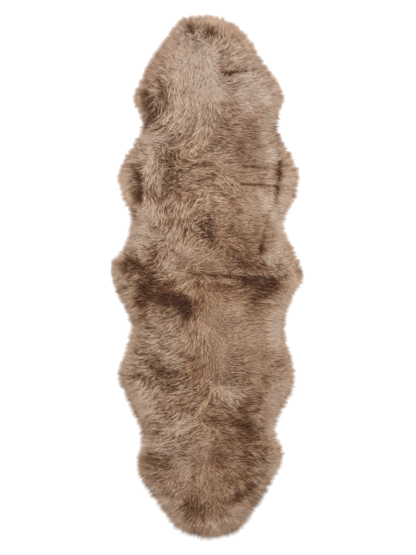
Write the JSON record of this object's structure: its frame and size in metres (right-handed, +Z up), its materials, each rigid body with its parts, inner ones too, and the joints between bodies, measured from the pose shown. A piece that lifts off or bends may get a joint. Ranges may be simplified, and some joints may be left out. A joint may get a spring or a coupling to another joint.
{
  "type": "lambskin rug",
  "caption": "Long lambskin floor rug with deep taupe wool: whole pelts sewn rump to rump, wavy natural outline, suede underside, lies flat.",
  "frame": {"origin": "on the floor under the middle of the rug's outline", "axes": "+Z up, on the wool side; +Y along the rug towards the neck of the upper pelt; +X to the right seen from above"},
  "size_m": [0.6664, 1.7976, 0.0512],
  "materials": {
    "wool": "long soft lambswool in locks, taupe with darker roots",
    "suede": "napped suede, the flesh side of the tanned hide"
  },
  "bodies": {
    "root": {"upper_hide": "suede", "lower_hide": "suede", "upper_fleece": "wool", "lower_fleece": "wool"}
  },
  "joints": []
}
